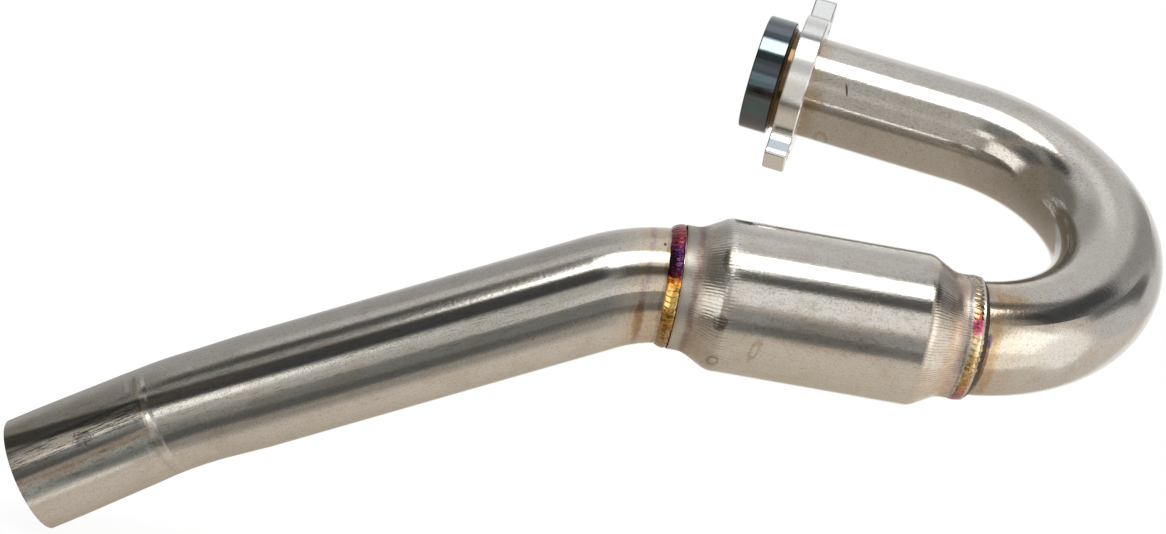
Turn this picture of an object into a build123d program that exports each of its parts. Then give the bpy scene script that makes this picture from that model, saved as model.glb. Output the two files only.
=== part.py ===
"""Motorcycle exhaust header with a return bend, a swaged resonance chamber and a flared slip end.

Frame in millimetres: the origin is the centre of the collar's port face, +X runs along the
port axis away from the engine, +Z is up, and the pipe comes back on the -Y side.
"""

import os
from math import asin, cos, pi, tan

from build123d import *

# Tube stock and bending die
tube_od = 41.3
tube_wall = 1.2
bend_radius = 65.0

# Port collar, turned from bar
collar_length = 11.5
collar_shoulder = 3.05
collar_lip = 3.0
collar_seat_clearance = 0.1
collar_chamfer = 0.5

# Fillet weld behind the collar
collar_weld_leg = 1.0
collar_weld_crown = 0.12
weld_penetration = 0.3

# Loose flange on the head tube
flange_thickness = 9.0
flange_bore_clearance = 1.0
flange_rim = 6.75
flange_lug_width = 14.0
flange_lug_end = 7.5
flange_angle = 64.0
flange_seat_gap = 2.1
flange_corner_radius = 1.6
flange_root_radius = 1.5
flange_edge_chamfer = 0.5
stud_spacing = 61.0
stud_hole_diameter = 8.5

# Head tube
head_straight = 88.35
return_bend_angle = 168.5
return_bend_lean = 55.0

# Resonance chamber, one tube swaged down to a neck at each end
chamber_swell = 5.2
chamber_wall = 1.0
chamber_body_length = 73.2
cone_length = 9.5
cone_blend_radius = 8.0
neck_in_length = 8.8
neck_out_length = 5.5
neck_fit = 0.15
lap_in = 7.5
lap_out = 6.0

# Perforated core inside the chamber
core_clearance = 0.3
core_wall = 1.0
core_insertion = 3.0
core_hole_diameter = 5.0
core_holes_around = 6
core_rows = 8
core_row_spacing = 8.5

# Ripples of the two welds that close the laps
ripple_radius = 2.6
ripple_root = 0.45
ripple_setback = 1.3
ripple_count = 60

# Tail tube
tail_roll = 126.0
tail_lead = 3.5
tail_bend_angle = 26.0
tail_straight = 126.0
waist_taper_length = 21.0
waist_reduction = 1.05
waist_blend = 2.0
waist_blend_radius = 60.0
gentle_bend_radius = 160.0
gentle_bend_angle = 6.6

# Slip end of the tail
slip_length = 48.0
slip_step_start = 0.8
slip_step_length = 1.6
slip_step_rise = 0.1
slip_blend_radius = 3.0
slip_expansion = 0.2
slip_land_length = 12.0

# Radii and places that follow from the sizes above
tube_radius = tube_od / 2
tube_bore = tube_radius - tube_wall
collar_radius = tube_radius + collar_shoulder
flange_front = collar_length + collar_weld_leg + flange_seat_gap
flange_bore = tube_radius + flange_bore_clearance
lap_tilt = asin(lap_in / bend_radius)
neck_bore = tube_radius / cos(lap_tilt) + bend_radius * (1 - cos(lap_tilt)) + neck_fit
neck_radius = neck_bore + chamber_wall
chamber_radius = neck_radius + chamber_swell
shell_length = neck_in_length + chamber_body_length + neck_out_length + 2 * cone_length
waist_radius = tube_radius - waist_reduction / 2
slip_mouth_radius = tube_radius + slip_expansion / 2

# Both bent tubes are planar, and the tail's plane is rolled about the chamber's axis
head_plane = Plane.XZ.rotated((-return_bend_lean, 0, 0))
with BuildLine(head_plane) as head_path:
    head_run = Line((collar_lip, 0), (head_straight, 0))
    return_bend = JernArc(head_run @ 1, head_run % 1, bend_radius, -return_bend_angle)

flow = return_bend % 1
chamber_start = return_bend @ 1 - flow * lap_in
chamber_end = chamber_start + flow * shell_length
tail_start = chamber_end - flow * lap_out

tail_normal = head_plane.z_dir.rotate(Axis((0, 0, 0), flow), tail_roll)
tail_plane = Plane(tail_start, x_dir=flow, z_dir=tail_normal)
with BuildLine(tail_plane) as tail_path:
    tail_lead_run = Line((0, 0), (tail_lead, 0))
    tail_bend = JernArc(tail_lead_run @ 1, tail_lead_run % 1, bend_radius, -tail_bend_angle)
    tail_run = Line(tail_bend @ 1, tail_bend @ 1 + (tail_bend % 1) * tail_straight)

waist_plane = Plane(tail_run @ 1, x_dir=tail_run % 1, z_dir=tail_plane.z_dir)
with BuildLine(waist_plane) as waist_path:
    gentle_bend = JernArc((waist_taper_length, 0), (1, 0), gentle_bend_radius, -gentle_bend_angle)

slip_plane = Plane(gentle_bend @ 1, x_dir=gentle_bend % 1, z_dir=tail_plane.z_dir)


def section_plane(path):
    """Plane across a path at its start, for the section that is swept along it."""
    return Plane(path @ 0, z_dir=path % 0)


def turn_axis(plane):
    """Axis of revolution along a plane's local X."""
    return Axis(plane.origin, plane.x_dir)


def tube_section(path, outer_radius, wall):
    """Ring-shaped section across the start of a path."""
    with BuildSketch(section_plane(path)) as section:
        Circle(outer_radius)
        Circle(outer_radius - wall, mode=Mode.SUBTRACT)
    return section.sketch


def formed_wall(plane, outline, blend, wall):
    """Section of a formed tube: its outside as (along, radius) points, thickened towards the axis."""
    with BuildSketch(plane) as section:
        with BuildLine():
            FilletPolyline(*outline, radius=blend)
            offset(amount=wall, side=Side.RIGHT)
        make_face()
    return section.sketch


with BuildPart() as port_collar:
    with BuildSketch(Plane.XZ) as collar_section:
        with Locations((0, tube_bore)):
            Rectangle(collar_length, collar_radius - tube_bore, align=Align.MIN)
        chamfer(collar_section.vertices().group_by(Axis.Y)[-1], collar_chamfer)
        with Locations((collar_lip, tube_bore)):
            Rectangle(
                collar_length - collar_lip,
                tube_wall + collar_seat_clearance,
                align=Align.MIN,
                mode=Mode.SUBTRACT,
            )
    revolve(axis=Axis.X)
port_collar.part.label = "port_collar"

with BuildPart() as collar_weld:
    with BuildSketch(Plane.XZ):
        with BuildLine():
            toe = (collar_length + collar_weld_leg, tube_radius)
            crown = (collar_length, tube_radius + collar_weld_leg)
            SagittaArc(crown, toe, collar_weld_crown)
            Polyline(
                toe,
                (collar_length + collar_weld_leg, tube_radius - weld_penetration),
                (collar_length, tube_radius - weld_penetration),
                crown,
            )
        make_face()
    revolve(axis=Axis.X)
collar_weld.part.label = "collar_weld"

with BuildPart() as port_flange:
    flange_x = Plane.YZ.x_dir.rotate(Axis.X, flange_angle)
    with BuildSketch(Plane((flange_front, 0, 0), x_dir=flange_x, z_dir=(1, 0, 0))) as flange_outline:
        Circle(flange_bore + flange_rim)
        RectangleRounded(stud_spacing + 2 * flange_lug_end, flange_lug_width, flange_corner_radius)
        lug_roots = flange_outline.vertices().sort_by_distance((0, 0, 0))[:4]
        fillet(lug_roots, flange_root_radius)
        Circle(flange_bore, mode=Mode.SUBTRACT)
        with GridLocations(stud_spacing, 0, 2, 1):
            Circle(stud_hole_diameter / 2, mode=Mode.SUBTRACT)
    extrude(amount=flange_thickness)
    chamfer(port_flange.faces().filter_by(Axis.X).edges(), flange_edge_chamfer)
port_flange.part.label = "port_flange"

with BuildPart() as head_tube:
    add(tube_section(head_run, tube_radius, tube_wall))
    sweep(path=head_path.wires()[0])
head_tube.part.label = "head_tube"

chamber_plane = Plane(chamber_start, x_dir=flow, z_dir=head_plane.z_dir)
cone_in_end = neck_in_length + cone_length
cone_out_start = cone_in_end + chamber_body_length
chamber_outline = [
    (0, neck_radius),
    (neck_in_length, neck_radius),
    (cone_in_end, chamber_radius),
    (cone_out_start, chamber_radius),
    (cone_out_start + cone_length, neck_radius),
    (shell_length, neck_radius),
]
with BuildPart() as chamber_shell:
    add(formed_wall(chamber_plane, chamber_outline, cone_blend_radius, chamber_wall))
    revolve(axis=turn_axis(chamber_plane))
chamber_shell.part.label = "chamber_shell"

core_radius = tube_bore - core_clearance
core_length = shell_length - lap_in - lap_out + 2 * core_insertion
core_plane = Plane(return_bend @ 1 - flow * core_insertion, z_dir=flow)
first_row = (core_length - (core_rows - 1) * core_row_spacing) / 2
with BuildPart(core_plane) as chamber_core:
    Cylinder(core_radius, core_length, align=(Align.CENTER, Align.CENTER, Align.MIN))
    Cylinder(
        core_radius - core_wall,
        core_length,
        align=(Align.CENTER, Align.CENTER, Align.MIN),
        mode=Mode.SUBTRACT,
    )
    for row in range(core_rows):
        stagger = (row % 2) * 180 / core_holes_around
        with Locations((0, 0, first_row + row * core_row_spacing)):
            with PolarLocations(0, core_holes_around, start_angle=stagger):
                Cylinder(
                    core_hole_diameter / 2,
                    2 * core_radius,
                    rotation=(0, 90, 0),
                    align=(Align.CENTER, Align.CENTER, Align.MIN),
                    mode=Mode.SUBTRACT,
                )
chamber_core.part.label = "chamber_core"


with BuildPart() as ripple:
    with Locations((tube_radius - ripple_root, 0, 0)):
        Sphere(ripple_radius, rotation=(90, 0, 0))
    with BuildSketch(Plane.XY.offset(-ripple_radius)):
        wedge_reach = tube_radius + ripple_radius
        wedge_half_width = wedge_reach * tan(pi / ripple_count)
        Polygon((0, 0), (wedge_reach, -wedge_half_width), (wedge_reach, wedge_half_width), align=None)
    extrude(amount=2 * ripple_radius, mode=Mode.INTERSECT)
    Cylinder(tube_radius - weld_penetration, 2 * ripple_radius, mode=Mode.SUBTRACT)


def lap_weld(tube_wire, from_tube_end):
    """Ring of ripples round a tube, centred a given length along it."""
    middle = tube_wire.position_at(from_tube_end, PositionMode.LENGTH)
    along = tube_wire.tangent_at(from_tube_end, PositionMode.LENGTH)
    with BuildPart(Plane(middle, z_dir=along)) as bead:
        with PolarLocations(0, ripple_count):
            add(ripple.part)
    return bead.part


head_wire = head_path.wires()[0]
with BuildPart() as inlet_weld:
    add(lap_weld(head_wire, head_wire.length - lap_in - ripple_setback))
inlet_weld.part.label = "inlet_weld"

tail_wire = tail_path.wires()[0]
with BuildPart() as outlet_weld:
    add(lap_weld(tail_wire, lap_out + ripple_setback))
outlet_weld.part.label = "outlet_weld"

waist_outline = [
    (0, tube_radius),
    (waist_blend, tube_radius),
    (waist_taper_length - waist_blend, waist_radius),
    (waist_taper_length, waist_radius),
]
slip_outline = [
    (0, waist_radius),
    (slip_step_start, waist_radius),
    (slip_step_start + slip_step_length, waist_radius + slip_step_rise),
    (slip_length - slip_land_length, slip_mouth_radius),
    (slip_length, slip_mouth_radius),
]
with BuildPart() as tail_tube:
    add(tube_section(tail_lead_run, tube_radius, tube_wall))
    sweep(path=tail_wire)
    add(formed_wall(waist_plane, waist_outline, waist_blend_radius, tube_wall))
    revolve(axis=turn_axis(waist_plane))
    add(tube_section(gentle_bend, waist_radius, tube_wall))
    sweep(path=gentle_bend)
    add(formed_wall(slip_plane, slip_outline, slip_blend_radius, tube_wall))
    revolve(axis=turn_axis(slip_plane))
tail_tube.part.label = "tail_tube"

os.makedirs("parts", exist_ok=True)
export_step(port_collar.part, "parts/port_collar.step")
export_step(collar_weld.part, "parts/collar_weld.step")
export_step(port_flange.part, "parts/port_flange.step")
export_step(head_tube.part, "parts/head_tube.step")
export_step(inlet_weld.part, "parts/inlet_weld.step")
export_step(chamber_shell.part, "parts/chamber_shell.step")
export_step(chamber_core.part, "parts/chamber_core.step")
export_step(outlet_weld.part, "parts/outlet_weld.step")
export_step(tail_tube.part, "parts/tail_tube.step")
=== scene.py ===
import math

import bpy
from mathutils import Matrix, Vector


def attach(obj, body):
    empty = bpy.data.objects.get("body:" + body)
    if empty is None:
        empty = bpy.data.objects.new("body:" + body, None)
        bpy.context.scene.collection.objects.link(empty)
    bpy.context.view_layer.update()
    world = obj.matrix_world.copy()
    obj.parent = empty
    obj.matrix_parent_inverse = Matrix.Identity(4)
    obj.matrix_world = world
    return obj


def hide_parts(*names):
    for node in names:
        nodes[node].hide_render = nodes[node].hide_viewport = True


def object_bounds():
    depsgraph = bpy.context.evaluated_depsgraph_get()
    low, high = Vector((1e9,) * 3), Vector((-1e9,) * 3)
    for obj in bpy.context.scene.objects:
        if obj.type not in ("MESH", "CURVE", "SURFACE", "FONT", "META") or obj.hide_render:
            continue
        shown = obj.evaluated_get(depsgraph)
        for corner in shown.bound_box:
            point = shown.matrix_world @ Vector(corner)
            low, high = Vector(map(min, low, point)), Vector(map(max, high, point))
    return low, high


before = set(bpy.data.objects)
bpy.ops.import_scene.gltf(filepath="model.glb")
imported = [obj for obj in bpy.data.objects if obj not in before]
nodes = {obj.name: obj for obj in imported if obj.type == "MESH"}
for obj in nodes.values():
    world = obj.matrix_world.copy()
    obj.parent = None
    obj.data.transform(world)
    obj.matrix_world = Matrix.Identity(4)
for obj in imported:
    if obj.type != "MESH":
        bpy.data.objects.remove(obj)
cad_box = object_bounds()
scene = bpy.context.scene

MM = 0.001
MM_PER_METRE = 1000.0


def unit(*v):
    return Vector(v).normalized()


# Straight runs of the pipe, as the solids have them: start in millimetres, axis away from the port
PORT = (Vector((0.0, 0.0, 0.0)), unit(1.0, 0.0, 0.0))
CHAMBER = (Vector((101.31, -105.42, -73.82)), unit(-0.9799, -0.1633, -0.1144))
TAIL = (Vector((-20.41, -125.89, -94.64)), unit(-0.8294, -0.1502, -0.5381))
SLIP = (Vector((-157.01, -150.66, -184.54)), unit(-0.7624, -0.1418, -0.6314))

# Return bend: its plane leans back, and DOWN is the way in it from the port's axis to the bend's centre
LEAN = math.radians(55.0)
DOWN = Vector((0.0, -math.sin(LEAN), -math.cos(LEAN)))
PORT_STRAIGHT = 88.35
BEND_RADIUS = 65.0
BEND_CENTRE = Vector((PORT_STRAIGHT, 0.0, 0.0)) + BEND_RADIUS * DOWN

# The photograph's viewpoint in millimetres, found from the pipe's outline
EYE = Vector((60.05, -833.7, -26.9))
LOOK = unit(-0.1248, 0.9885, -0.0854)
UP_IN_VIEW = Vector((-0.2962, 0.0450, 0.9541))
LENS, SENSOR = 62.02, 36.0

# The room's light from left to right: place on the way across, colour
ROOM = [
    (0.15, (0.30, 0.26, 0.20)),
    (0.34, (0.42, 0.36, 0.30)),
    (0.47, (0.48, 0.41, 0.33)),
    (0.56, (0.58, 0.52, 0.44)),
    (0.64, (0.70, 0.63, 0.55)),
    (0.72, (0.78, 0.70, 0.62)),
    (0.90, (0.88, 0.80, 0.72)),
]

# Soft patches of light and dark in that room, in degrees. Rise is 0 towards the camera, 90 overhead and 180 behind,
# side is -90 at the left and 90 at the right, and a later patch covers an earlier one.
PATCHES = [
    # rise from, to, side from, to, soft edge, radiance
    (70, 190, -90, 90, 30, (0.74, 0.72, 0.70)),
    (40, 200, -90, -46, 20, (0.25, 0.235, 0.20)),
    (100, 190, -50, -24, 16, (0.48, 0.47, 0.45)),
    (132, 200, -8, 30, 18, (0.95, 0.94, 0.92)),
    (-200, -158, -8, 40, 12, (1.0, 0.98, 0.95)),
    (-32, 45, -10, 10, 10, (0.60, 0.57, 0.52)),
    (-51, -36, -45, 14, 7, (0.18, 0.155, 0.12)),
    (-47, -27, 9, 29, 7, (0.23, 0.23, 0.22)),
    (-27, -10, 9, 30, 7, (0.40, 0.395, 0.38)),
    (-62, 52, 36, 90, 12, (1.28, 1.21, 1.12)),
    (-104, 30, 60, 90, 14, (1.30, 1.23, 1.14)),
    (-18, 38, 37, 60, 9, (1.85, 1.78, 1.68)),
    (-38, 4, -52, -19, 9, (1.55, 1.50, 1.40)),
    (13, 43, -52, -33, 8, (0.155, 0.16, 0.15)),
    (-2, 30, 8, 27, 8, (1.15, 1.12, 1.07)),
    (3, 15, -17, -6, 6, (1.6, 1.58, 1.5)),
    (2, 14, -6, 1, 5, (0.76, 0.74, 0.70)),
    (17, 44, -25, -6, 6, (0.275, 0.28, 0.27)),
    (32, 54, 6, 20, 5, (0.09, 0.09, 0.085)),
    (50, 78, -46, -28, 12, (0.08, 0.08, 0.075)),
    (42, 57, -44, -27, 8, (0.33, 0.33, 0.31)),
    (57, 102, 21, 46, 11, (0.075, 0.078, 0.082)),
    (76, 90, 7, 24, 5, (0.20, 0.20, 0.20)),
    (102, 152, 20, 42, 12, (0.40, 0.39, 0.38)),
    (72, 142, 45, 60, 10, (0.17, 0.17, 0.17)),
    (78, 110, -18, -2, 8, (1.0, 1.0, 0.98)),
    # The long strip light over the camera
    (48, 73, -24, -12, 4, (4.2, 4.2, 4.1)),
    (44, 73, -14, 3, 4, (4.5, 4.5, 4.4)),
    (48, 73, 1, 7, 4, (4.5, 4.5, 4.4)),
    (55, 74, 5, 17, 4, (4.5, 4.5, 4.4)),
]

WHITE = (1.0, 1.0, 1.0, 1.0)

# Floor, in metres. Its glow renders white, and the rest of its mix is paint, which keeps a faint shadow.
FLOOR_COLOUR = (0.9, 0.9, 0.9, 1.0)
FLOOR_GLOW = 1.035
FLOOR_GLOW_SHARE = 0.9
FLOOR_GAP = 0.001
FLOOR_HALF = 6.0

# Bare tube steel
STEEL = (0.60, 0.585, 0.56)
BARE_STEEL_ROUGHNESS = 0.10

# Heat colours of the weld beads: height over the chamber's axis in millimetres, colour
INLET_COLOURS = [
    (-22.0, (0.36, 0.14, 0.24)),
    (-18.0, (0.62, 0.28, 0.16)),
    (-15.0, (0.60, 0.40, 0.18)),
    (-9.0, (0.78, 0.58, 0.28)),
    (-2.0, (0.92, 0.76, 0.48)),
    (1.0, (0.90, 0.62, 0.42)),
    (3.0, (0.62, 0.10, 0.24)),
    (6.5, (0.70, 0.16, 0.28)),
    (8.0, (0.72, 0.26, 0.12)),
    (10.5, (0.34, 0.27, 0.17)),
    (20.0, (0.42, 0.38, 0.30)),
]
OUTLET_COLOURS = [
    (-20.0, (0.52, 0.38, 0.20)),
    (-14.0, (0.62, 0.38, 0.12)),
    (-10.0, (0.56, 0.34, 0.09)),
    (-7.0, (1.0, 0.72, 0.28)),
    (-1.0, (1.0, 0.66, 0.19)),
    (1.5, (0.90, 0.32, 0.05)),
    (3.0, (0.13, 0.02, 0.05)),
    (7.0, (0.045, 0.015, 0.06)),
    (11.5, (0.04, 0.018, 0.085)),
    (13.0, (0.10, 0.03, 0.13)),
    (14.5, (0.26, 0.04, 0.09)),
    (20.0, (0.30, 0.06, 0.08)),
]

# Sections of the weld beads in millimetres: along the chamber's axis from the bead's middle, radius
INLET_PROFILE = [
    (-4.6, 20.1), (-4.0, 20.9), (-3.2, 21.7), (-2.2, 22.25), (-1.2, 22.5),
    (0.0, 22.6), (1.2, 22.5), (2.0, 22.3), (2.4, 22.1),
]
OUTLET_PROFILE = [
    (-2.6, 22.1), (-2.0, 22.3), (-1.0, 22.25), (0.0, 22.0),
    (1.0, 21.6), (1.8, 21.1), (2.3, 20.7), (2.6, 20.2),
]
BEAD_RIPPLES = 66
BEAD_SEGMENTS = 16 * BEAD_RIPPLES
BEAD_STEPS = 18


class Nodes:
    """Short ways to write a node tree, in which a value is a socket or a constant."""

    def __init__(self, tree):
        self.tree = tree
        tree.nodes.clear()

    def fill(self, node, key, value):
        if isinstance(value, bpy.types.NodeSocket):
            self.tree.links.new(value, node.inputs[key])
        else:
            node.inputs[key].default_value = value

    def add(self, kind, values=(), **settings):
        node = self.tree.nodes.new("ShaderNode" + kind)
        for name, value in settings.items():
            setattr(node, name, value)
        for key, value in dict(values).items():
            self.fill(node, key, value)
        return node

    def math(self, operation, *values, clamp=False):
        return self.add("Math", enumerate(values), operation=operation, use_clamp=clamp).outputs[0]

    def times(self, *factors):
        product = factors[0]
        for factor in factors[1:]:
            product = self.math("MULTIPLY", product, factor)
        return product

    def swing(self, value, noise, amount):
        """The value, moved up and down by half the amount at most, by a noise that lies round 0.5."""
        return self.math("MULTIPLY_ADD", noise, amount, self.math("SUBTRACT", value, amount / 2))

    def minus(self, a, b):
        return self.add("VectorMath", {0: a, 1: b}, operation="SUBTRACT").outputs[0]

    def dot(self, a, b):
        return self.add("VectorMath", {0: a, 1: b}, operation="DOT_PRODUCT").outputs["Value"]

    def scaled(self, a, factor):
        return self.add("VectorMath", {0: a, "Scale": factor}, operation="SCALE").outputs[0]

    def join(self, x, y, z):
        return self.add("CombineXYZ", {0: x, 1: y, 2: z}).outputs[0]

    def step(self, value, low, high):
        """0 below low, 1 above high, smooth between; falls instead where low is above high."""
        falls = low > high
        ends = {1: min(low, high), 2: max(low, high), 3: float(falls), 4: float(not falls)}
        return self.add("MapRange", {0: value, **ends}, interpolation_type="SMOOTHSTEP").outputs[0]

    def band(self, value, low, high, soft):
        """1 between low and high, 0 outside, soft at both ends."""
        rise = self.step(value, low - soft / 2, low + soft / 2)
        return self.times(rise, self.step(value, high + soft / 2, high - soft / 2))

    def noise(self, vector, scale, detail=2.0, roughness=0.5, distortion=0.0):
        values = {
            "Vector": vector,
            "Scale": scale,
            "Detail": detail,
            "Roughness": roughness,
            "Distortion": distortion,
        }
        return self.add("TexNoise", values).outputs["Fac"]

    def ramp(self, value, stops):
        node = self.add("ValToRGB", {0: value})
        elements = node.color_ramp.elements
        while len(elements) < len(stops):
            elements.new(0.5)
        for element, (place, colour) in zip(elements, stops):
            element.position = place
            element.color = (*colour, 1.0)
        return node.outputs[0]

    def mix(self, factor, a, b, blend="MIX"):
        node = self.add("Mix", data_type="RGBA", blend_type=blend)
        self.fill(node, 0, factor)
        for key, colour in ((6, a), (7, b)):
            self.fill(node, key, (*colour, 1.0) if isinstance(colour, tuple) else colour)
        return node.outputs[2]


def studio_world():
    """Pale room with a long strip light over the camera, soft lights at both sides and dark gaps between them."""
    world = bpy.data.worlds.new("studio")
    world.use_nodes = True
    scene.world = world
    g = Nodes(world.node_tree)
    way = g.add("TexCoord").outputs["Generated"]
    x, y, z = g.add("SeparateXYZ", {0: way}).outputs
    rise = g.math("DEGREES", g.math("ARCTAN2", z, g.math("MULTIPLY", y, -1.0)))
    side = g.math("DEGREES", g.math("ARCSINE", x))
    across = g.math("DIVIDE", g.math("ADD", side, 90.0), 180.0)
    light = g.ramp(across, ROOM)
    for rise_from, rise_to, side_from, side_to, soft, radiance in PATCHES:
        mask = g.times(g.band(rise, rise_from, rise_to, soft), g.band(side, side_from, side_to, soft))
        light = g.mix(mask, light, radiance)
    lit = g.add("Background", {"Color": light, "Strength": 1.0})
    white = g.add("Background", {"Color": WHITE, "Strength": 1.0})
    seen = g.add("LightPath").outputs["Is Camera Ray"]
    shown = g.add("MixShader", {0: seen, 1: lit.outputs[0], 2: white.outputs[0]})
    g.add("OutputWorld", {"Surface": shown.outputs[0]})


def studio_floor():
    """Plain white floor under the lowest point, which keeps a faint shadow and isn't mirrored in the metal."""
    low, half = cad_box[0].z - FLOOR_GAP, FLOOR_HALF
    mesh = bpy.data.meshes.new("floor")
    corners = [(-half, -half, low), (half, -half, low), (half, half, low), (-half, half, low)]
    mesh.from_pydata(corners, [], [(0, 1, 2, 3)])
    floor = bpy.data.objects.new("floor", mesh)
    scene.collection.objects.link(floor)
    floor.visible_glossy = False
    floor.visible_diffuse = False
    material = bpy.data.materials.new("floor_white")
    material.use_nodes = True
    g = Nodes(material.node_tree)
    paint_coat = g.add("BsdfDiffuse", {"Color": FLOOR_COLOUR})
    glow = g.add("Emission", {"Color": WHITE, "Strength": FLOOR_GLOW})
    shown = g.add("MixShader", {0: FLOOR_GLOW_SHARE, 1: paint_coat.outputs[0], 2: glow.outputs[0]})
    g.add("OutputMaterial", {"Surface": shown.outputs[0]})
    mesh.materials.append(material)


def camera():
    """The photograph's viewpoint."""
    data = bpy.data.cameras.new("camera")
    data.lens = LENS
    data.sensor_width = SENSOR
    data.clip_start, data.clip_end = 0.01, 50.0
    cam = bpy.data.objects.new("camera", data)
    scene.collection.objects.link(cam)
    right = LOOK.cross(UP_IN_VIEW).normalized()
    up = right.cross(LOOK)
    turn = Matrix((right, up, -LOOK)).transposed().to_4x4()
    cam.matrix_world = Matrix.Translation(EYE * MM) @ turn
    scene.camera = cam


def up_across(axis):
    """Upwards in the photograph, square to an axis."""
    return (UP_IN_VIEW - UP_IN_VIEW.dot(axis) * axis).normalized()


class Metal(Nodes):
    """A metal finish built up in layers of colour, roughness and relief, measured in millimetres."""

    def __init__(self, name, colour, roughness):
        self.material = bpy.data.materials.new(name)
        self.material.use_nodes = True
        super().__init__(self.material.node_tree)
        self.place = self.scaled(self.add("TexCoord").outputs["Object"], MM_PER_METRE)
        self.colour, self.rough, self.height = colour, roughness, 0.0

    def run(self, start, axis):
        """Length along a straight run of pipe, height over its axis as seen, depth towards the camera."""
        up = up_across(axis)
        near = up.cross(axis)
        if near.y > 0:
            near = -near
        offset = self.minus(self.place, tuple(start))
        return [self.dot(offset, tuple(way)) for way in (axis, up, near)]

    def near_side(self, depth, soft=3.0):
        """1 on the half towards the camera, 0 on the far half."""
        return self.step(depth, -soft, soft)

    def drawn(self, run, squeeze):
        """A place for noise that is drawn out along a run."""
        along, height, depth = run
        return self.join(self.math("MULTIPLY", along, squeeze), height, depth)

    def tint(self, mask, colour):
        """The metal shows through, tinted."""
        self.colour = self.mix(mask, self.colour, colour, "MULTIPLY")

    def cover(self, mask, colour):
        self.colour = self.mix(mask, self.colour, colour)

    def roughen(self, mask, amount):
        self.rough = self.math("MULTIPLY_ADD", mask, amount, self.rough)

    def relief(self, value, depth):
        self.height = self.math("MULTIPLY_ADD", value, depth, self.height)

    def stripes(self, mask, height, *rows):
        """Tints in bands along a run, painted reflections for the most part: each row is height from, to, softness,
        colour.
        """
        for low, high, soft, colour in rows:
            self.tint(self.times(mask, self.band(height, low, high, soft)), colour)

    def speckle(self, waves, dirt):
        """Orange peel of the pickled surface, with fine pits, dark grit and cloudy patches."""
        peel = self.noise(self.place, 0.9, 2.0, 0.55)
        self.relief(peel, waves)
        pits = self.noise(self.place, 2.1, 2.0, 0.7)
        self.relief(self.step(pits, 0.60, 0.72), -0.006)
        self.tint(self.times(self.step(pits, 0.50, 0.70), dirt), (0.60, 0.575, 0.55))
        grit = self.noise(self.place, 0.75, 4.0, 0.8)
        self.tint(self.times(self.step(grit, 0.56, 0.68), dirt), (0.68, 0.655, 0.63))
        self.tint(self.times(self.step(grit, 0.44, 0.34), 0.6), (1.10, 1.10, 1.09))
        specks = self.noise(self.place, 1.7, 2.0, 0.6)
        black = self.math("MULTIPLY", self.step(specks, 0.68, 0.73), 1.4 * dirt, clamp=True)
        self.tint(black, (0.30, 0.29, 0.28))
        clouds = self.noise(self.place, 0.09, 3.0, 0.6)
        self.tint(self.times(self.step(clouds, 0.48, 0.66), 0.5), (0.90, 0.86, 0.80))
        self.roughen(clouds, 0.05)

    def grain(self, run, strength):
        """Drawing lines along the tube."""
        lines = self.noise(self.drawn(run, 0.03), 1.9, 3.0, 0.7)
        self.tint(self.times(self.step(lines, 0.50, 0.72), strength), (0.62, 0.60, 0.57))
        self.relief(lines, 0.012)

    def crimps(self, run, start, end, pitch):
        """Fine straight creases that the swaging dies press along a cone, pitch radians apart round its axis."""
        along, height, depth = run
        turn = self.math("ARCTAN2", height, depth)
        waver = self.times(self.noise(self.place, 0.12, 1.0), 0.05)
        fold = self.math("SINE", self.math("DIVIDE", self.math("ADD", turn, waver), pitch / (2 * math.pi)))
        patch = self.step(self.noise(self.drawn(run, 0.10), 0.5), 0.36, 0.60)
        cone = self.band(along, start, end, 4.0)
        where = self.times(cone, patch)
        self.relief(self.times(fold, where), 0.016)
        # Painted shade along the creases
        self.tint(self.times(self.step(fold, 0.3, 0.95), where, 0.6), (0.42, 0.39, 0.37))
        self.roughen(cone, 0.07)

    def heat(self, away, *bands):
        """Uneven heat tints beside a weld: each band is from, to, softness, colour."""
        wide = self.swing(away, self.noise(self.place, 0.10, 2.0), 3.0)
        ragged = self.swing(wide, self.noise(self.place, 0.9, 3.0, 0.75), 1.0)
        worn = self.math("MULTIPLY_ADD", self.noise(self.place, 0.5, 3.0, 0.65), 1.6, -0.1, clamp=True)
        for start, end, soft, colour in bands:
            self.tint(self.times(self.band(ragged, start, end, soft), worn), colour)

    def spot(self, run, centre, half, colour, lean=0.0, hollow=0.0, ragged=0.5):
        """Oval stain on the side towards the camera.

        The centre and the half sizes are (along, height). A lean tips it, and hollow is the share of it
        that stays clear, so that only the rim of a dried drop is left.
        """
        along, height, depth = run
        straight = self.math("SUBTRACT", along, centre[0] + lean * centre[1])
        x = self.math("DIVIDE", self.math("MULTIPLY_ADD", height, lean, straight), half[0])
        y = self.math("DIVIDE", self.math("SUBTRACT", height, centre[1]), half[1])
        out = self.math("SQRT", self.math("ADD", self.times(x, x), self.times(y, y)))
        out = self.swing(out, self.noise(self.place, 0.8, 3.0, 0.65), 2 * ragged)
        mask = self.times(self.step(out, 1.2, 0.8), self.near_side(depth, 1.0))
        if hollow:
            mask = self.times(mask, self.step(out, hollow - 0.15, hollow + 0.1))
        self.tint(mask, colour)

    def done(self):
        bump = self.add("Bump", {"Strength": 1.0, "Distance": MM, "Height": self.height})
        base = (*self.colour, 1.0) if isinstance(self.colour, tuple) else self.colour
        values = {"Base Color": base, "Metallic": 1.0, "Roughness": self.rough, "Normal": bump.outputs[0]}
        shader = self.add("BsdfPrincipled", values)
        self.add("OutputMaterial", {"Surface": shader.outputs[0]})
        return self.material


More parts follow.
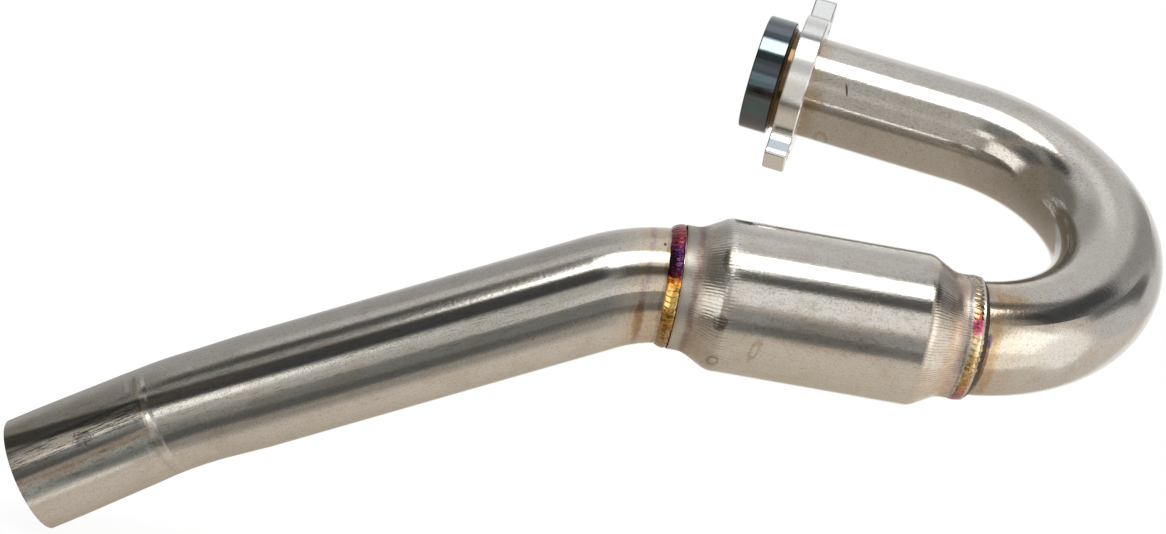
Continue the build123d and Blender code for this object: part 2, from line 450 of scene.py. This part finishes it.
def head_steel():
    m = Metal("head_steel", STEEL, BARE_STEEL_ROUGHNESS)
    m.speckle(0.024, 0.75)
    port = m.run(*PORT)
    along, height, _ = port
    # Heat of the collar's weld, behind the flange; the dark band next to the collar is partly heat tint and partly
    # painted shade in the slit
    m.tint(m.band(along, -20, 28, 8), (0.90, 0.80, 0.69))
    m.tint(m.band(along, -20, 15.5, 2), (0.30, 0.22, 0.14))
    # The rim of a dried drop, a stain and a scratch
    m.spot(port, (34.0, -19.5), (3.0, 2.6), (0.82, 0.78, 0.72), lean=0.15, hollow=0.55)
    m.spot(port, (26.8, -6.5), (5.0, 4.0), (0.93, 0.84, 0.73), ragged=1.0)
    m.spot(port, (38.7, 1.2), (0.45, 2.3), (0.22, 0.21, 0.20), lean=0.35, ragged=0.15)
    # Scuffs along the middle of the straight
    scuffs = m.step(m.noise(m.drawn(port, 0.25), 1.1, 4.0, 0.75), 0.52, 0.66)
    middle = m.times(m.band(height, -9, 7, 4.0), m.step(along, 20, 30))
    m.tint(m.times(middle, scuffs, 0.6), (0.62, 0.60, 0.58))
    # Heat of the chamber's weld, on the lower leg of the bend alone
    weld = m.run(*CHAMBER)
    past_centre = m.dot(m.minus(m.place, tuple(BEND_CENTRE)), tuple(DOWN))
    upper_leg = m.math("SUBTRACT", 1.0, m.step(past_centre, 30.0, 40.0))
    away = m.math("ADD", m.times(weld[0], -1.0), m.times(upper_leg, 100.0))
    m.heat(
        away,
        (6, 10.5, 1.5, (0.70, 0.56, 0.42)),
        (10.5, 14, 2.0, (0.88, 0.74, 0.58)),
        (13, 21, 4.0, (1.0, 0.91, 0.77)),
        (21, 32, 6.0, (1.0, 0.97, 0.91)),
    )
    # A blue fleck, painted shade at the bead's toe, a brown smear and the gold edge beside the bead
    m.spot(weld, (-10.3, 0.0), (0.9, 2.6), (0.50, 0.58, 1.0), ragged=0.3)
    m.spot(weld, (-10.0, -8.0), (0.8, 9.0), (0.50, 0.44, 0.38), lean=0.02)
    m.spot(weld, (-18.0, 15.0), (6.0, 3.0), (0.88, 0.76, 0.64), ragged=1.0)
    m.spot(weld, (-12.4, -3.0), (2.2, 15.0), (1.0, 0.90, 0.77), ragged=0.8)
    # The dark reflection reaches the bead
    dark = m.times(m.band(weld[1], 6.6, 12.5, 1.6), m.band(away, 8, 34, 6.0), m.near_side(weld[2]))
    m.tint(dark, (0.74, 0.73, 0.72))
    return m.done()


def chamber_steel():
    m = Metal("chamber_steel", STEEL, BARE_STEEL_ROUGHNESS)
    m.speckle(0.020, 0.65)
    run = m.run(*CHAMBER)
    along, height, depth = run
    m.grain(run, 0.25)
    # Painted light: paler below; painted shade: darker at the tail's end, most of all on its upper side
    m.tint(m.step(height, -8.0, -17.0), (1.28, 1.26, 1.24))
    m.tint(m.step(along, 90.0, 94.0), (0.86, 0.85, 0.84))
    m.tint(m.times(m.step(along, 90.5, 93.5), m.step(height, 1.0, 6.0)), (0.66, 0.64, 0.63))
    # Creased cones and dull necks
    m.crimps(run, 80.0, 96.0, pitch=0.046)
    m.crimps(run, -5.0, 12.0, pitch=0.040)
    m.roughen(m.step(along, 89.5, 93.0), 0.22)
    m.roughen(m.step(along, 4.0, 0.0), 0.18)
    # Heat of the tail's weld, then of the head tube's
    m.heat(
        m.math("SUBTRACT", 99.0, along),
        (-3, 0.8, 0.8, (0.80, 0.70, 0.56)),
        (4.0, 6.2, 1.6, (0.70, 0.56, 0.54)),
        (6.0, 11.0, 3.0, (0.95, 0.88, 0.80)),
    )
    m.heat(
        along,
        (-3.0, -1.9, 0.9, (0.46, 0.41, 0.40)),
        (-1.8, 1.4, 1.5, (0.98, 0.80, 0.70)),
        (1.0, 5.0, 2.0, (1.0, 0.82, 0.66)),
        (5.0, 13.0, 4.0, (1.0, 0.93, 0.84)),
    )
    # The rims of two dried drops, and two patches of painted shade on the cone
    m.spot(run, (83.2, -23.3), (2.2, 1.8), (0.66, 0.62, 0.56), hollow=0.55, ragged=0.3)
    m.spot(run, (70.2, -17.2), (1.8, 4.2), (0.80, 0.75, 0.68), lean=0.2, hollow=0.5)
    m.spot(run, (83.9, -9.6), (2.6, 2.8), (0.50, 0.48, 0.45))
    m.spot(run, (84.2, 12.0), (2.2, 4.5), (0.62, 0.58, 0.54))
    # Mottled middle
    mottle = m.noise(m.drawn(run, 0.5), 0.5, 4.0, 0.8)
    middle = m.times(m.band(height, -11.0, 7.0, 5.0), m.band(along, 16, 74, 8.0), m.near_side(depth))
    m.tint(m.times(middle, m.step(mottle, 0.50, 0.62), 0.6), (0.66, 0.65, 0.63))
    m.relief(m.times(middle, mottle), 0.012)
    # A long painted dark reflection under the middle
    m.spot(run, (48, -9), (22, 4.5), (0.86, 0.84, 0.81))
    return m.done()


def tail_steel():
    m = Metal("tail_steel", STEEL, BARE_STEEL_ROUGHNESS)
    m.speckle(0.022, 0.65)
    run = m.run(*TAIL)
    along, height, depth = run
    weld = m.run(*CHAMBER)
    near, near_weld = m.near_side(depth), m.near_side(weld[2])
    m.grain(run, 0.28)
    # Dark reflections: under the middle, over it, and the latter's curve round the bend to the weld
    m.tint(m.times(m.band(height, -11.8, -1.8, 3.0), m.step(weld[0], 114, 124), near), (0.60, 0.61, 0.60))
    m.tint(m.times(m.band(height, 4.2, 8.7, 1.5), m.step(along, -9, -1), near), (0.26, 0.26, 0.27))
    past_weld = m.math("SUBTRACT", weld[0], 104.0)
    arc = m.math("MULTIPLY_ADD", m.times(past_weld, past_weld), 0.0145, weld[1])
    m.tint(m.times(m.band(arc, 2.9, 7.8, 1.8), m.step(weld[0], 126, 117), near_weld), (0.26, 0.26, 0.25))
    # Painted light: paler below
    m.tint(m.step(height, -10.0, -15.0), (1.13, 1.11, 1.09))
    # Streaks along the straight
    streaks = m.noise(m.drawn(run, 0.10), 1.5, 4.0, 0.8)
    middle = m.times(m.band(height, -4.0, 12.0, 4.0), m.step(along, 10, 25), near)
    m.tint(m.times(middle, m.step(streaks, 0.54, 0.64), 0.7), (0.52, 0.51, 0.50))
    m.relief(m.times(middle, streaks), 0.012)
    # Heat of the weld, a straw smear and a black pit
    m.heat(
        m.math("SUBTRACT", weld[0], 101.8),
        (2.0, 3.6, 1.0, (0.62, 0.46, 0.34)),
        (3.2, 8.0, 2.5, (0.97, 0.82, 0.62)),
        (8.0, 10.0, 1.6, (0.72, 0.58, 0.62)),
        (9.6, 13.0, 2.0, (0.98, 0.84, 0.68)),
        (12.4, 18.0, 4.0, (1.0, 0.95, 0.86)),
    )
    m.spot(weld, (111.5, -13.5), (1.8, 7.0), (0.80, 0.64, 0.46), ragged=0.8)
    m.spot(weld, (106.5, 13.8), (0.5, 0.5), (0.15, 0.13, 0.12), ragged=0.1)
    slip_end(m)
    return m.done()


def slip_end(m):
    """The tail's flared end: its sharper reflections painted in bands, sanding lines, and the ring where the flare
    starts, with a painted highlight.
    """
    slip = m.run(*SLIP)
    along, height, depth = slip
    near = m.near_side(depth)
    here = m.times(m.step(along, -3.0, 1.0), near)
    lines = m.noise(m.drawn(slip, 0.05), 2.4, 3.0, 0.7)
    mottle = m.noise(m.drawn(slip, 0.30), 0.9, 4.0, 0.75)
    # Painted reflections on the near side: a dark line over a bright band at the top, with dark sanding lines in that
    # band
    m.stripes(here, height, (8.8, 9.9, 0.8, (0.60, 0.59, 0.58)), (3.6, 8.8, 1.5, (1.60, 1.61, 1.60)))
    m.tint(m.times(here, m.band(height, 2.5, 8.8, 1.5), m.step(lines, 0.53, 0.59)), (0.17, 0.165, 0.165))
    # A painted dark band over the middle, and under it a pink band that is partly the end's own tint and partly
    # painted light
    m.stripes(here, height, (-0.7, 3.4, 1.4, (0.36, 0.37, 0.385)), (-3.4, -0.7, 1.2, (1.15, 1.03, 0.97)))
    m.tint(m.times(here, m.band(height, -7.0, -1.0, 2.0), m.step(mottle, 0.50, 0.62)), (0.70, 0.60, 0.56))
    # A painted bright reflection band below
    m.stripes(here, height, (-10.4, -3.2, 1.6, (1.50, 1.57, 1.60)))
    m.spot(slip, (21.0, 4.2), (3.4, 2.2), (0.58, 0.56, 0.55), lean=-0.3, ragged=1.4)
    m.spot(slip, (32.0, -3.5), (9.0, 1.2), (0.94, 0.80, 0.74), lean=-0.15, ragged=0.8)
    m.relief(m.times(here, lines), 0.02)
    m.roughen(here, 0.06)
    # The ring where the flare starts: a real rise, with a painted highlight over it
    ring = m.band(along, -4.2, -1.2, 1.9)
    m.relief(m.times(ring, near), 0.15)
    m.tint(m.times(ring, m.band(height, -12, 14, 6.0)), (1.40, 1.40, 1.39))


def collar_steel():
    """Turned steel, heated until it is blue-grey, with faint clouds, painted reflections in bands and painted shade on
    its rear face.
    """
    m = Metal("collar_steel", (0.14, 0.18, 0.20), 0.09)
    run = m.run(*PORT)
    along, height, depth = run
    place = m.drawn(run, 0.7)
    cloud = m.noise(place, 0.11, 3.0, 0.55, 0.4)
    other = m.noise(place, 0.19, 2.0, 0.5)
    m.cover(m.step(cloud, 0.40, 0.66), (0.165, 0.165, 0.205))
    m.cover(m.step(other, 0.46, 0.72), (0.135, 0.205, 0.215))
    m.cover(m.step(cloud, 0.58, 0.76), (0.20, 0.19, 0.185))
    # Painted reflections in bands on the near side
    m.stripes(
        m.near_side(depth),
        height,
        (12.2, 15.5, 1.4, (0.50, 0.50, 0.52)),
        (7.0, 12.0, 1.2, (1.50, 1.50, 1.48)),
        (3.2, 6.6, 1.2, (0.30, 0.31, 0.31)),
        (-2.2, 3.2, 1.5, (0.58, 0.60, 0.64)),
        (-5.2, -2.4, 1.6, (1.30, 1.60, 1.75)),
        (-7.8, -5.2, 1.4, (0.92, 1.12, 1.20)),
    )
    # Turning marks and pits
    m.relief(m.noise(m.join(m.times(along, 3.0), 0.0, 0.0), 1.0, 2.0, 0.7), 0.006)
    pits = m.noise(m.place, 1.8, 2.0, 0.7)
    m.tint(m.times(m.step(pits, 0.56, 0.70), 0.6), (0.5, 0.5, 0.5))
    m.relief(m.noise(m.place, 0.8), 0.012)
    # Painted shade on the rear face, in the slit by the flange
    m.cover(m.step(along, 10.9, 11.3), (0.05, 0.035, 0.025))
    return m.done()


def flange_aluminium():
    """Machined aluminium with small dents, and painted light and shade on its faces."""
    m = Metal("flange_aluminium", (0.84, 0.85, 0.865), 0.19)
    along, height, _ = m.run(*PORT)
    m.relief(m.noise(m.join(0.0, m.times(along, 2.4), 0.0), 1.0, 2.0, 0.6), 0.004)
    m.relief(m.noise(m.place, 0.7, 2.0, 0.6), 0.016)
    dents = m.noise(m.place, 1.5, 3.0, 0.65)
    m.tint(m.times(m.step(dents, 0.52, 0.68), 0.6), (0.76, 0.76, 0.77))
    # Painted light: lighter below the middle; painted shade: a dark line lower down
    m.tint(m.step(height, 3.0, -1.5), (1.16, 1.16, 1.16))
    m.tint(m.band(height, -12.2, -10.6, 1.0), (0.62, 0.63, 0.63))
    # Painted shade on the lugs' flat flanks that face up and towards the camera
    facing = m.dot(m.add("TexCoord").outputs["Normal"], (0.04, -0.878, 0.477))
    flank = m.step(facing, 0.950, 0.985)
    m.tint(m.times(flank, m.band(height, -29.9, -25.4, 1.4)), (0.15, 0.165, 0.18))
    m.tint(m.times(flank, m.step(height, 15.0, 17.0)), (0.25, 0.25, 0.25))
    # Painted light and shade on the lugs' ends: the upper end a little darker, the lower end lighter and bluer
    m.tint(m.step(height, 20.0, 24.0), (0.93, 0.93, 0.93))
    m.tint(m.step(height, -29.0, -31.0), (1.05, 1.11, 1.18))
    m.roughen(dents, 0.08)
    return m.done()


def plain_metal(name, colour, roughness, waves):
    m = Metal(name, colour, roughness)
    m.speckle(waves, 0.5)
    return m.done()


def weld_metal(name, stops, streak, blobs, toe):
    """Weld bead in its heat colours, with streaks, darker blobs and a sooty rim up to toe, a length along the axis."""
    m = Metal(name, (0.7, 0.5, 0.2), 0.18)
    along, height, _ = m.run(*CHAMBER)
    reach = 24.0
    wander = m.noise(m.place, 0.45, 3.0, 0.65)
    level = m.math("MULTIPLY_ADD", m.math("SUBTRACT", wander, 0.5), 4.5, height)
    level = m.math("DIVIDE", m.math("ADD", level, reach), 2 * reach)
    m.colour = m.ramp(level, [((h + reach) / (2 * reach), colour) for h, colour in stops])
    flecks = m.noise(m.place, 1.5, 3.0, 0.75)
    m.cover(m.times(m.step(flecks, 0.56, 0.66), 0.7), streak)
    m.tint(m.times(m.step(flecks, 0.47, 0.36), 0.75), (0.40, 0.30, 0.24))
    m.tint(m.step(m.noise(m.place, 0.6, 2.0), 0.52, 0.62), blobs)
    rim = m.step(m.swing(along, wander, 2.6), toe + 0.3, toe - 0.3)
    m.cover(rim, (0.15, 0.12, 0.09))
    m.tint(m.times(rim, m.step(flecks, 0.50, 0.60)), (0.35, 0.30, 0.26))
    m.roughen(rim, 0.4)
    m.relief(m.noise(m.place, 1.1, 2.0), 0.035)
    return m.done()


def radius_at(profile, along):
    k = max(n for n in range(len(profile) - 1) if profile[n][0] <= along + 1e-9)
    (a0, r0), (a1, r1) = profile[k], profile[k + 1]
    return r0 + (r1 - r0) * (along - a0) / (a1 - a0)


def ripple_height(turn, across):
    """Height of the frozen ripples, about 0.4 either way: a slow rise and a quick fall, curved across the bead."""
    phase = BEAD_RIPPLES * turn / (2 * math.pi) + 0.42 * across * across + 0.05 * math.sin(7 * turn)
    phase -= math.floor(phase)
    crest = (phase if phase < 0.8 else (1 - phase) * 4) - 0.4
    return crest * (1 - across**4) * (0.8 + 0.3 * math.sin(5 * turn + 2))


def bead(name, node, at, profile, ripple, material):
    """Rippled weld bead round one of the chamber's necks, at a length along its axis."""
    start, axis = CHAMBER
    up = up_across(axis)
    near = axis.cross(up)
    centre = start + at * axis
    low, high = profile[0][0], profile[-1][0]
    middle, half = (low + high) / 2, (high - low) / 2
    points, faces = [], []
    for i in range(BEAD_SEGMENTS):
        turn = 2 * math.pi * i / BEAD_SEGMENTS
        out = math.cos(turn) * near + math.sin(turn) * up
        wobble = 0.10 * math.sin(3 * turn + 1) + 0.06 * math.sin(11 * turn) + 0.05 * math.sin(23 * turn + 2)
        for j in range(BEAD_STEPS + 1):
            along = low + (high - low) * j / BEAD_STEPS
            radius = radius_at(profile, along) + ripple * ripple_height(turn, (along - middle) / half)
            points.append(tuple((centre + (along + wobble) * axis + radius * out) * MM))
    row = BEAD_STEPS + 1
    for i in range(BEAD_SEGMENTS):
        n = (i + 1) % BEAD_SEGMENTS
        for j in range(BEAD_STEPS):
            faces.append((i * row + j, n * row + j, n * row + j + 1, i * row + j + 1))
    mesh = bpy.data.meshes.new(name)
    mesh.from_pydata(points, [], faces)
    mesh.polygons.foreach_set("use_smooth", [True] * len(faces))
    mesh.materials.append(material)
    mesh.validate()
    piece = bpy.data.objects.new(name, mesh)
    scene.collection.objects.link(piece)
    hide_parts(node)
    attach(piece, "pipe")


def paint(node, material):
    data = nodes[node].data
    data.materials.clear()
    data.materials.append(material)


paint("head_tube", head_steel())
paint("chamber_shell", chamber_steel())
paint("tail_tube", tail_steel())
paint("chamber_core", plain_metal("core_steel", (0.50, 0.47, 0.43), 0.3, 0.012))
# The collar's weld: heat tint, darkened further as painted shade in the slit by the flange
paint("collar_weld", plain_metal("tinted_weld", (0.15, 0.105, 0.062), 0.22, 0.03))
paint("port_collar", collar_steel())
paint("port_flange", flange_aluminium())

inlet_metal = weld_metal("inlet_bead", INLET_COLOURS, (0.80, 0.60, 0.34), (0.70, 0.62, 0.60), -7.6)
bead("inlet_bead", "inlet_weld", -5.0, INLET_PROFILE, 0.2, inlet_metal)
outlet_metal = weld_metal("outlet_bead", OUTLET_COLOURS, (0.55, 0.22, 0.06), (0.55, 0.45, 0.50), 99.5)
bead("outlet_bead", "outlet_weld", 101.9, OUTLET_PROFILE, 0.22, outlet_metal)

scene.view_settings.view_transform = "Standard"
studio_world()
studio_floor()
camera()

bpy.context.view_layer.update()
